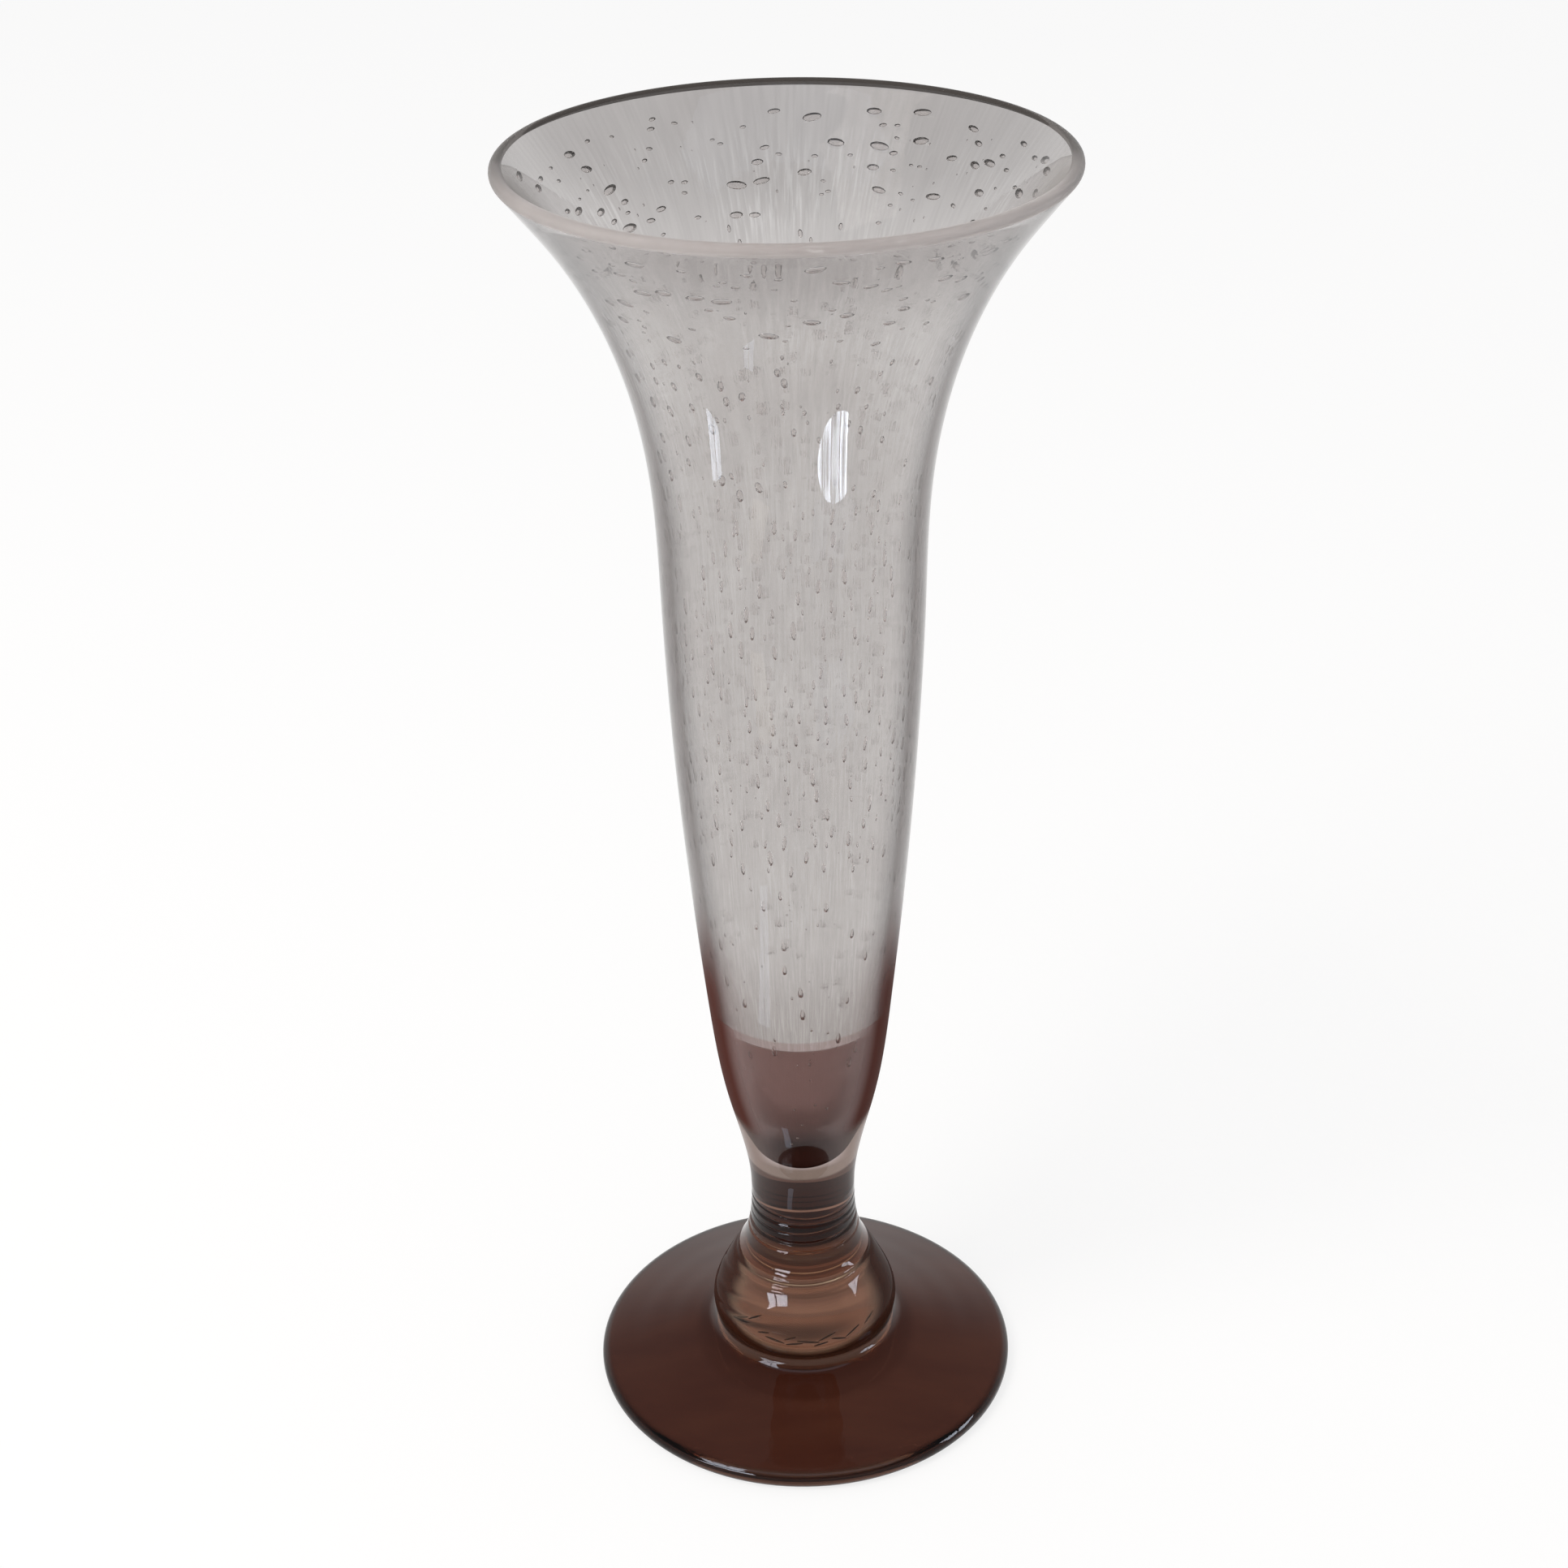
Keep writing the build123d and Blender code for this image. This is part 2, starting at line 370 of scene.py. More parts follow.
class Shells:
    """Collects the closed shells of one piece, each face with its finish, and makes one mesh of them."""

    def __init__(self):
        self.points = []
        self.faces = []
        self.finishes = []

    def add(self, points, faces, finishes):
        first = len(self.points)
        self.points.extend(points)
        self.faces.extend([[first + corner for corner in face] for face in faces])
        self.finishes.extend(finishes)

    def turn(self, outline, finishes, dip=None):
        """Turns a half outline that starts and ends on the axis, with one finish for each stretch of it.
        dip gives how far a row is worked in, from its angles, radius and height."""
        angles = np.linspace(0, 2 * math.pi, segments, endpoint=False)
        points = []
        rows = []
        for radius, height in outline:
            if radius < 1e-6:
                rows.append([len(points)] * segments)
                points.append((0.0, 0.0, height))
                continue
            short = hand(angles, height) * min(1.0, radius / 10)
            if dip is not None:
                short = short + dip(angles, radius, height)
            rows.append(range(len(points), len(points) + segments))
            points.extend(zip((radius - short) * np.cos(angles), (radius - short) * np.sin(angles),
                              [height] * segments))
        faces = []
        for low, high in zip(rows, rows[1:]):
            for i in range(segments):
                j = (i + 1) % segments
                faces.append(list(dict.fromkeys([low[i], low[j], high[j], high[i]])))
        self.add(points, faces, [finish for finish in finishes for _ in range(segments)])

    def make(self, name, materials):
        """The mesh object, with its finishes as slots. Right-angled edges, as round a weld, stay sharp."""
        names = list(materials)
        mesh = bpy.data.meshes.new(name)
        mesh.from_pydata([tuple(MM * c for c in p) for p in self.points], [], self.faces)
        for material in materials.values():
            mesh.materials.append(material)
        mesh.polygons.foreach_set("material_index", [names.index(finish) for finish in self.finishes])
        mesh.shade_smooth()
        mesh.set_sharp_from_angle(angle=math.radians(60))
        piece = bpy.data.objects.new(name, mesh)
        scene.collection.objects.link(piece)
        print(name, "has", len(self.points), "points and", len(self.faces), "faces")
        return piece


print("hand unevenness up to", unevenness, "mm,", segments, "segments")

# %% [markdown]
# ## Glass
# All the pieces are soda-lime glass, worked hot and left with the smooth skin that the fire gives. It
# bends light with an index of 1.52 and shows sharp reflections. Its colour is set as what one wall lets
# through: each skin that a ray crosses takes the square root of it, so two skins take the whole.

# %% Clear glass, welds and bubble walls
glass_ior = 1.52
painted_reflection_dimming = "#969696"  # painted shade on every reflection: a grey tint, as if the room before the vase were dim


def glass_shader(tree, feeds):
    """Refracting glass; feeds give its colour and what else differs from plain polished glass."""
    settings = {"Roughness": 0.0, "IOR": glass_ior, "Transmission Weight": 1.0,
                # Specular Tint is painted shade: it dims every reflection
                "Specular Tint": linear(painted_reflection_dimming)}
    settings.update(feeds)
    glass = add_node(tree, "BsdfPrincipled", settings)
    add_node(tree, "OutputMaterial", {"Surface": glass})


def fused_weld(name, tint):
    """Inside a hot weld light isn't bent: the two faces that touch let it straight through, with a tint."""
    material, tree = new_material(name)
    clear = add_node(tree, "BsdfTransparent", {"Color": linear(tint)})
    add_node(tree, "OutputMaterial", {"Surface": clear})
    return material


def bubble_wall():
    """The fire-smooth wall of an air bubble: nearly clear, so that its bent edge alone draws it."""
    material, tree = new_material("fire-smooth wall of an air bubble")
    glass_shader(tree, {"Base Color": linear("#F3F0EF")})
    return material


weld = fused_weld("fused hot weld", "#FFFFFF")
chilled_weld = fused_weld("fused weld, browned by the chill of the tools", "#DCC6B6")
bubble_skin = bubble_wall()
print("made:", weld.name, "and", bubble_skin.name)

# %% [markdown]
# ## Glass of the bowl
# The bowl is smoky grey, a little darker at the mouth. The thick glass around the well has a brown blush
# with a clear, level upper edge. It is seen on the wall nearer to the eye, and the far wall must not show
# a second edge through it: the Backfacing output tells from which side a skin is seen. Where the eye looks
# along the wall, and not across it, Layer Weight darkens the glass: the bowl's dark side lines and the
# blush's brown sides are painted shade, partly for the deeper glass there and partly for the dark
# surroundings that such glass shows. There a share of the skin is plain colour, painted shade too, and a
# Specular IOR Level of 0 keeps that share free of a second reflection.

# %% Where a colour lies
dark_sides = (0.37, 0.64)  # from 0, a skin that faces the eye, to 1, one that is seen edge on
# painted shade: the colour that the bowl's sides are darkened towards
painted_side_shade = "#4A4341"


def seen_along(tree, sides, narrowed=0.0):
    """0 where the skin faces the eye, 1 where the eye looks along it; narrowed keeps it to the very edge."""
    facing = add_node(tree, "LayerWeight", {"Blend": 0.5}).outputs["Facing"]
    along = add_node(tree, "Math", {0: facing, 1: narrowed}, operation="SUBTRACT")
    return add_node(tree, "MapRange", {
        "Value": along, "From Min": sides[0], "From Max": sides[1]}, **soft_step)


def between_heights(tree, place, heights):
    """0 at the first height, 1 at the second, with a soft change between the two."""
    height = add_node(tree, "SeparateXYZ", {0: place}).outputs["Z"]
    return add_node(tree, "MapRange", {
        "Value": height, "From Min": heights[0], "From Max": heights[1]}, **soft_step)


print("sides darken from", dark_sides[0], "to", dark_sides[1])

# %% [markdown]
# Blowing draws out every unevenness of the glass, so the smoke has fine upright streaks. Noise is round
# by itself. Its place is worked out from the way round the bowl and the height, with a scale for each,
# and that stretches it upright.

# %% Smoke in the glass
smoke_tilt = 0.4  # the smoky mouth comes lower at the back, per unit of depth
smoke_heights = (264 * MM, 298 * MM)  # over which it deepens
smoke_cloud = 26 * MM
smoke_streaks_round = 260  # drawn-out streaks round the bowl, under a millimetre wide in the body
smoke_streak_length = 14 * MM
smoke_streak_noise = (0.65, 0.35)  # where a streak starts, and where it is full


def upright_noise(tree, place, round_count, length):
    """Noise in upright streaks: so many round the bowl, and each of about this length."""
    flat = add_node(tree, "VectorMath", {0: place, 1: (1, 1, 0)}, **times)
    round_way = add_node(tree, "VectorMath", {0: flat}, operation="NORMALIZE")
    upright = add_node(tree, "VectorMath", {0: place, 1: (0, 0, 1 / length)}, **times)
    stretched = add_node(tree, "VectorMath", operation="MULTIPLY_ADD", feeds={
        0: round_way, 1: [round_count / (2 * math.pi)] * 3, 2: upright})
    return add_node(tree, "TexNoise", {"Vector": stretched, "Scale": 1.0, "Detail": 3.0})


def smoke_tint(tree, place):
    """The smoky grey at a point: darker up to the mouth, a little cloudy, with fine upright streaks."""
    level = add_node(tree, "VectorMath", {0: place, 1: (0, smoke_tilt, 1)}, operation="DOT_PRODUCT")
    smoke_up = add_node(tree, "MapRange", {
        "Value": level, "From Min": smoke_heights[0], "From Max": smoke_heights[1]})
    smoke = add_node(tree, "ValToRGB", {0: smoke_up}, stops=[
        (0, "#E2E0DF"), (0.6, "#CDCAC9"), (1, "#BEBBBA")])
    clouds = add_node(tree, "TexNoise", {"Vector": place, "Scale": 1 / smoke_cloud, "Detail": 2.0})
    cloudy = add_node(tree, "Mix", {0: clouds, 6: smoke, 7: linear("#F2F0EF")}, **darkened)
    streaks = upright_noise(tree, place, smoke_streaks_round, smoke_streak_length)
    thin = add_node(tree, "MapRange", {
        "Value": streaks, "From Min": smoke_streak_noise[0], "From Max": smoke_streak_noise[1]}, **soft_step)
    return add_node(tree, "Mix", {0: thin, 6: cloudy, 7: linear("#F6F6F6")}, **darkened)


print("smoke streaks:", smoke_streaks_round, "round the bowl")

# %% [markdown]
# Colour on the bowl goes by height, and is the same all round. One function works it out for both skins
# of the wall, which differ in the colours of the base and in how far the brown sides reach.

# %% Brown blush of the base
outer_blush = (105.2 * MM, (0.30, 0.76))  # height of its edge, and its brown sides
inner_blush = (101.4 * MM, (0.10, 0.42))
blush_softness = 0.4 * MM
blush_start = (140 * MM, 110 * MM)  # heights over which its sides start, downwards
base_heights = (40 * MM, 110 * MM)  # from the first to the last colour of the base
dusk_under, dusk_over = 2 * MM, 30 * MM  # reach of the dusky glass about the blush's edge


def bowl_tint(tree, place, near, base_stops, blush):
    """How far a point on the bowl is in the blush, and its colour. near is 1 on the wall nearer to the eye,
    base_stops give the colours up the brown base, and blush its edge and sides."""
    edge, sides = blush
    under = between_heights(tree, place, (edge + blush_softness, edge - blush_softness))
    brown = add_node(tree, "Math", {0: under, 1: seen_along(tree, sides)}, operation="MAXIMUM")
    low_enough = between_heights(tree, place, blush_start)
    reach = add_node(tree, "Math", {0: near, 1: low_enough}, **times)
    blushed = add_node(tree, "Math", {0: brown, 1: reach}, **times)
    by_edge = between_heights(tree, place, (edge + dusk_over, edge - dusk_under))
    dusk = add_node(tree, "Math", {0: near, 1: by_edge}, **times)
    smoky = add_node(tree, "Mix", {
        0: dusk, 6: smoke_tint(tree, place), 7: linear("#DDDAD8")}, **darkened)
    height = add_node(tree, "SeparateXYZ", {0: place}).outputs["Z"]
    base_up = add_node(tree, "MapRange", {
        "Value": height, "From Min": base_heights[0], "From Max": base_heights[1]})
    base = add_node(tree, "ValToRGB", {0: base_up}, stops=base_stops)
    return blushed, add_node(tree, "Mix", {0: blushed, 6: smoky, 7: base}, **mixed)


blush_tops = [round(blush[0] / MM, 1) for blush in (outer_blush, inner_blush)]
print("blush up to, outside and inside, millimetres:", blush_tops)

# %% [markdown]
# The outside has three finishes, because they need different shaders: the smoky body, the brown base and
# the lip that was melted round in the fire.

# %% Glass of the outside and the lip
flare_heights = (225 * MM, 297 * MM)  # over which the flare's dark side lines get thinner
flare_thinning = 0.24
pale_sides = (71 * MM, 77 * MM)  # under the well the base is paler again, along its sides up to here
pale_cover = 0.4  # share of the brown sides' painted shade cover that the pale ones have
deep_sides = (0.34, 0.66)  # where the blush's sides get deep brown, as painted shade
side_cover = 0.92  # most of the light that the deep brown sides hold back: painted shade, plain colour in place of glass
neck_end = (61.2 * MM, 62.2 * MM)  # the neck below is as brown as the stem
lip_back = 58 * MM  # the lip's radius, rounded up


def smoky_bowl_glass():
    """Blown soda glass, smoky grey: sharp reflections, and dark sides that are painted shade."""
    material, tree = new_material("blown smoky soda glass")
    place = add_node(tree, "TexCoord").outputs["Object"]
    height = add_node(tree, "SeparateXYZ", {0: place}).outputs["Z"]
    in_flare = add_node(tree, "MapRange", {
        "Value": height, "From Min": flare_heights[0], "From Max": flare_heights[1],
        "To Max": flare_thinning})
    smoke = smoke_tint(tree, place)
    # painted shade where the skin is seen along, thinner on the flare
    sides = seen_along(tree, dark_sides, in_flare)
    tint = add_node(tree, "Mix", {0: sides, 6: smoke, 7: linear(painted_side_shade)}, **darkened)
    glass_shader(tree, {"Base Color": tint})
    return material


def brown_base_glass():
    """Blown soda glass with a brown blush: clear in the middle, and deep brown along its sides, as painted
    shade.
    """
    material, tree = new_material("blown soda glass with a brown blush")
    place = add_node(tree, "TexCoord").outputs["Object"]
    back = add_node(tree, "NewGeometry").outputs["Backfacing"]
    near = add_node(tree, "Math", {0: 1.0, 1: back}, operation="SUBTRACT")
    blushed, tint = bowl_tint(tree, place, near, [(0.354, "#4A382F"), (0.394, "#A8908D")], outer_blush)
    over_neck = between_heights(tree, place, neck_end)
    bowl_side = add_node(tree, "Math", {0: over_neck, 1: back}, operation="MAXIMUM")
    whole = add_node(tree, "Mix", {0: bowl_side, 6: linear("#1C0905"), 7: tint}, **mixed)
    # painted shade: the dark side lines again, on the brown base
    side_shaded = add_node(tree, "Mix", {
        0: seen_along(tree, dark_sides), 6: whole, 7: linear(painted_side_shade)}, **darkened)
    # painted shade: where the skin is seen along, the blush's sides are pale or deep brown plain colour
    in_well = between_heights(tree, place, pale_sides)
    pale_or_brown = add_node(tree, "Mix", {
        0: in_well, 6: linear("#6A5045"), 7: linear("#552C24")}, **mixed)
    flank = add_node(tree, "Mix", {0: bowl_side, 6: linear("#2A140D"), 7: pale_or_brown}, **mixed)
    deep = seen_along(tree, deep_sides)
    brown_sides = add_node(tree, "Mix", {0: deep, 6: whole, 7: flank}, **mixed)
    cover = add_node(tree, "MapRange", {"Value": in_well, "To Min": pale_cover, "To Max": 1.0})
    brown = add_node(tree, "Math", {0: blushed, 1: cover}, **times)
    covered = add_node(tree, "Math", {0: deep, 1: brown}, **times)
    let_through = add_node(tree, "MapRange", {"Value": covered, "To Min": 1.0, "To Max": 1 - side_cover})
    colour = add_node(tree, "Mix", {0: blushed, 6: side_shaded, 7: brown_sides}, **mixed)
    glass_shader(tree, {"Base Color": colour, "Transmission Weight": let_through, "Specular IOR Level": 0.0})
    return material


def fire_polished_lip():
    """The lip, melted round in the fire: painted light and shade, pale in front and dark at the back."""
    material, tree = new_material("fire-polished soda glass lip")
    place = add_node(tree, "TexCoord").outputs["Object"]
    depth = add_node(tree, "SeparateXYZ", {0: place}).outputs["Y"]
    backward = add_node(tree, "MapRange", {"Value": depth, "From Min": -lip_back, "From Max": lip_back})
    # painted light and shade: paler towards the front, darker towards the back, and only partly glass
    tint = add_node(tree, "ValToRGB", {0: backward}, stops=[
        (0.24, "#CEC7C5"), (0.5, "#6A6562"), (0.76, "#57524F")])
    glass_shader(tree, {"Base Color": tint, "Transmission Weight": 0.4, "Specular IOR Level": 0.0})
    return material


smoky_glass = smoky_bowl_glass()
base_glass = brown_base_glass()
lip_glass = fire_polished_lip()
print("made:", smoky_glass.name + ",", base_glass.name, "and", lip_glass.name)

# %% [markdown]
# The inside of a used vase carries a dry film where water ran down: pale upright streaks, under a
# millimetre wide and several long. The upright noise gives them. Where the film lies, the skin lets less
# light through and scatters a little. The same skin has the fine ripple of blown glass, as a bump. Around
# the well it is brown, and holds back most of the light. At the two ends of the mouth, where it is seen
# along, it is painted grey and lets less light through: painted shade.

# %% Inner skin with a dry water film
streaks_round = 420  # streaks round the bowl, under half a millimetre wide in the body
streak_length = 7.0 * MM
streak_noise = (0.44, 0.70)  # where a streak starts, and where it is full
film_patch = 22 * MM
film_patch_noise = (0.25, 0.60)
film_heights = (295 * MM, 280 * MM)  # over which the film starts, under the lip
film_paleness = 0.5
film_cover = 0.03  # share of the light that the film holds back
well_heights = (71 * MM, 93 * MM)
well_cover = (0.96, 0.78)  # share that the brown skin holds back, at these heights
mouth_heights = (266 * MM, 284 * MM)
mouth_ends = (0.58, 0.88)  # from its middle to where it is seen along
mouth_cover = 0.45  # share that the ends of the mouth hold back, as painted shade
ripple_size = 1.5 * MM
ripple_depth = 0.05 * MM
ripple_heights = (282 * MM, 294 * MM)  # over which the ripples fade, up to the lip
ripple_strengths = (0.4, 0.03)  # below these heights and above


def filmed_inner_skin():
    """Blown soda glass with a dry water film: pale streaks that blur what lies behind them."""
    material, tree = new_material("blown smoky soda glass with a dry water film")
    place = add_node(tree, "TexCoord").outputs["Object"]
    near = add_node(tree, "NewGeometry").outputs["Backfacing"]
    blushed, tint = bowl_tint(tree, place, near, [
        (0.36, "#472B24"), (0.45, "#402720"), (0.557, "#8A6860"), (0.657, "#A27E77")], inner_blush)

    # The film: streaks, in patches, not under the lip and not on the brown glass
    runs = upright_noise(tree, place, streaks_round, streak_length)
    run = add_node(tree, "MapRange", {
        "Value": runs, "From Min": streak_noise[0], "From Max": streak_noise[1]}, **soft_step)
    patches = add_node(tree, "TexNoise", {"Vector": place, "Scale": 1 / film_patch, "Detail": 1.0})
    patch = add_node(tree, "MapRange", {
        "Value": patches, "From Min": film_patch_noise[0], "From Max": film_patch_noise[1]}, **soft_step)
    wetted = add_node(tree, "Math", {0: run, 1: patch}, **times)
    from_lip = between_heights(tree, place, film_heights)
    film = add_node(tree, "Math", {0: wetted, 1: from_lip}, **times)
    unblushed = add_node(tree, "Math", {0: 1.0, 1: blushed}, operation="SUBTRACT")
    dry = add_node(tree, "Math", {0: film, 1: unblushed}, **times)
    paled = add_node(tree, "Math", {0: dry, 1: film_paleness}, **times)
    film_tint = add_node(tree, "Mix", {0: paled, 6: tint, 7: linear("#FFFFFF")}, **mixed)

    # What the film, the brown glass and the ends of the mouth let through
    height = add_node(tree, "SeparateXYZ", {0: place}).outputs["Z"]
    filmed = add_node(tree, "MapRange", {"Value": dry, "To Min": 1.0, "To Max": 1 - film_cover})
    through_brown = add_node(tree, "MapRange", {
        "Value": height, "From Min": well_heights[0], "From Max": well_heights[1],
        "To Min": 1 - well_cover[0], "To Max": 1 - well_cover[1]})
    bare = add_node(tree, "Mix", {0: blushed, 2: 1.0, 3: through_brown})
    clear = add_node(tree, "Math", {0: filmed, 1: bare}, **times)
    in_mouth = between_heights(tree, place, mouth_heights)
    # painted shade: the ends of the mouth, seen along, are grey and let less light through
    ends = add_node(tree, "Math", {0: seen_along(tree, mouth_ends), 1: in_mouth}, **times)
    through_ends = add_node(tree, "MapRange", {"Value": ends, "To Min": 1.0, "To Max": 1 - mouth_cover})
    let_through = add_node(tree, "Math", {0: clear, 1: through_ends}, **times)
    colour = add_node(tree, "Mix", {0: ends, 6: film_tint, 7: linear("#ACA8A5")}, **mixed)

    # Streaks and ripples as bumps
    strength = add_node(tree, "MapRange", {
        "Value": height, "From Min": ripple_heights[0], "From Max": ripple_heights[1],
        "To Min": ripple_strengths[0], "To Max": ripple_strengths[1]})
    streaky = add_node(tree, "Bump", {"Height": runs, "Strength": strength, "Distance": ripple_depth})
    ripples = add_node(tree, "TexNoise", {"Vector": place, "Scale": 1 / ripple_size, "Detail": 2.0})
    rippled = add_node(tree, "Bump", {
        "Height": ripples, "Strength": strength, "Distance": ripple_depth, "Normal": streaky})
    glass_shader(tree, {"Base Color": colour, "Transmission Weight": let_through, "Normal": rippled,
                        "Specular IOR Level": 0.0})
    return material


inner_skin = filmed_inner_skin()
print("made:", inner_skin.name)

# %% [markdown]
# ## Bubbles
# Powder on the hot first gather gives off gas, and the second gather traps it as bubbles between the two.
# They stretch with the glass: flat and wide at the mouth, upright in the body, drop-shaped below. Each
# one is a small closed shell with its faces turned to the air, so light bends at it as at a real bubble.
# They are scattered from a seed, each with room of its own.

# %% Scattered bubbles
seeded = np.random.default_rng(11)
bubble_seat = 1.4  # depth under the inner skin where the two gathers meet
bubble_seat_spread = (-0.25, 0.15)
bubble_half_depth = 0.5  # at most, so that the bubble stays inside the wall
bubble_flatness = 0.28  # half depth of a small bubble, as a share of its lesser size
bubble_mix = 1.5  # over 1, small bubbles are more common than large ones
bubble_width_spread = (0.7, 1.3)
bubble_room = 0.55  # least gap between two centres, as a share of both sizes
bubble_tries = 30  # places that are tried for a bubble's room
fine_bubble = 4.05  # size from which a bubble gets a finer mesh


def unit_ball(subdivisions):
    """Points and faces of a ball of radius 1, with its faces turned inwards."""
    ball = bmesh.new()
    bmesh.ops.create_icosphere(ball, subdivisions=subdivisions, radius=1.0)
    points = np.array([point.co for point in ball.verts])
    faces = [[point.index for point in reversed(face.verts)] for face in ball.faces]
    ball.free()
    return points, faces


balls = {"fine": unit_ball(3), "small": unit_ball(2)}


def add_bubble(shells, centre, across_way, along_way, half_sizes, taper=0.0, detail="small",
               finish="bubble"):
    """One air bubble with its half sizes across, along and deep; taper makes its upper end thinner."""
    points, faces = balls[detail]
    out_way = np.cross(across_way, along_way)
    across, along, deep = half_sizes
    thin = 1 - taper * points[:, 1:2]
    shape = (across * thin * points[:, 0:1] * across_way + along * points[:, 1:2] * along_way
             + deep * thin * points[:, 2:3] * out_way)
    shells.add([tuple(p) for p in centre + shape], faces, [finish] * len(faces))


def scatter_bubbles(shells, heights, per_cm2, along, across, taper=0.0, tilt=8.0):
    """Scatters bubbles in the bowl's wall between two heights; along and across give sizes from and to."""
    steps = np.diff(bowl_inside, axis=0)
    middle = (bowl_inside[1:] + bowl_inside[:-1]) / 2
    area = 2 * math.pi * middle[:, 0] * np.linalg.norm(steps, axis=1)
    area[(middle[:, 1] < heights[0]) | (middle[:, 1] > heights[1])] = 0
    count = round(per_cm2 * area.sum() / 100)
    for _ in range(count):
        bigness = seeded.random() ** bubble_mix
        length = along[0] + (along[1] - along[0]) * bigness
        breadth = min(1.0, bigness * seeded.uniform(*bubble_width_spread))
        width = across[0] + (across[1] - across[0]) * breadth
        for _ in range(bubble_tries):
            row = seeded.choice(len(area), p=area / area.sum())
            slope = steps[row] / np.linalg.norm(steps[row])
            inner = bowl_inside[row] + seeded.random() * steps[row]
            angle = seeded.uniform(0, 2 * math.pi)
            seat = bubble_seat + seeded.uniform(*bubble_seat_spread)
            radius = inner[0] + slope[1] * seat - hand(angle, inner[1])
            height = inner[1] - slope[0] * seat
            out = np.array([math.cos(angle), math.sin(angle), 0])
            centre = np.array([radius * out[0], radius * out[1], height])
            gaps = [np.linalg.norm(centre - other) - bubble_room * (max(length, width) + size)
                    for other, size in bubbles]
            if not gaps or min(gaps) > 0:
                break
        round_way = np.array([-out[1], out[0], 0])
        up_way = slope[0] * out + np.array([0, 0, slope[1]])
        turned = math.radians(seeded.uniform(-tilt, tilt))
        across_way = math.cos(turned) * round_way + math.sin(turned) * up_way
        along_way = math.cos(turned) * up_way - math.sin(turned) * round_way
        deep = min(bubble_half_depth, bubble_flatness * min(width, length))
        add_bubble(shells, centre, across_way, along_way, (width / 2, length / 2, deep), taper,
                   "fine" if max(width, length) > fine_bubble else "small")
        bubbles.append((centre, max(width, length)))
    return count


bowl = Shells()
bubbles = []
made = {
    "mouth": scatter_bubbles(bowl, (274, 296), 2.9, (0.6, 1.9), (1.1, 4.4), tilt=12),
    "flare": scatter_bubbles(bowl, (238, 274), 3.0, (1.0, 3.0), (0.6, 1.7), tilt=14),
    "body": scatter_bubbles(bowl, (150, 238), 5.0, (1.4, 4.2), (0.5, 1.25)),
    "lower body": scatter_bubbles(bowl, (94, 150), 1.7, (1.0, 3.4), (0.5, 1.2), taper=0.4),
    "well": scatter_bubbles(bowl, (68, 94), 1.2, (0.4, 1.2), (0.3, 0.7)),
    "specks": scatter_bubbles(bowl, (90, 293), 0.8, (0.3, 0.8), (0.25, 0.5)),
}
print("bubbles:", made)

# %% [markdown]
# ## Bowl
# The bowl's outline runs from the axis across the weld, up the outside, over the rounded lip and down the
# inside to the bottom of the well. Each stretch of it has its finish, and the bubbles are shells in the
# same mesh.

# %% Bowl mesh
base_finish_top = 150  # above the blush, where both finishes look alike
weld_row = [(0.0, neck[1]), (neck[0] / 2, neck[1])]
bowl_outline = np.concatenate([
    weld_row, bowl_outside, lip_round[1:-1], bowl_inside[::-1], well_round[-2::-1]])
base_rows = int(np.sum(bowl_outside[:, 1] < base_finish_top))
stretches = (["weld"] * len(weld_row) + ["base"] * base_rows
             + ["outside"] * (len(bowl_outside) - 1 - base_rows) + ["lip"] * (len(lip_round) - 1))
bowl.turn(bowl_outline, stretches + ["inside"] * (len(bowl_outline) - 1 - len(stretches)))
bowl_piece = bowl.make("bowl", {
    "outside": smoky_glass, "base": base_glass, "lip": lip_glass, "inside": inner_skin, "weld": weld,
    "bubble": bubble_skin})

# %% [markdown]
# ## Stem
# The short stem is solid. As it turned, the jaws of the jacks left rings in it. A groove is too small for
# a separate part, so rows of the outline are drawn in there. Each ring runs a little out of level, as
# hand work does. The weld to the knop was chilled by the tools, so it is a little brown.

# %% Stem mesh and glass
knop_top = (15.6, 34.0)
knop_top_lean = -31.0
ring_pitch = 2.3
rings_from = 6.65  # along the side, from the knop to the middle of the first ring
ring_widths = [1.2, 1.7, 1.0, 1.6, 0.9]
ring_depths = [0.30, 0.42, 0.22, 0.40, 0.18]
ring_waves = (0.22, 0.1)  # how far a ring runs out of level, once and three times round
ring_depth_share = (0.85, 0.3)  # mean and swing of its depth round the stem
stem_swirl = 9 * MM
stem_sides = (0.4, 0.8)
amber_heights = (40 * MM, 42.5 * MM)  # over which the stem's amber foot turns to brown

stem_side = smooth_line([knop_top, neck], leaning(knop_top_lean), leaning(0), 0.16)
along_side = np.concatenate([[0], np.cumsum(np.linalg.norm(np.diff(stem_side, axis=0), axis=1))])
ring_middles = rings_from + ring_pitch * np.arange(len(ring_widths))
ring_heights = np.interp(ring_middles, along_side, stem_side[:, 1])


def tool_rings(angles, radius, height):
    """Depth of the tool's rings round the stem."""
    depth = np.zeros_like(angles)
    for i, middle in enumerate(ring_heights):
        off = height - middle - ring_waves[0] * np.sin(angles + 1.3 * i)
        off -= ring_waves[1] * np.sin(3 * angles + 2.1 * i)
        strength = ring_depth_share[0] + ring_depth_share[1] * np.sin(2 * angles + 1.7 * i)
        inside = np.abs(off) < ring_widths[i] / 2
        depth += inside * ring_depths[i] * strength * np.cos(math.pi * off / ring_widths[i]) ** 2
    return depth


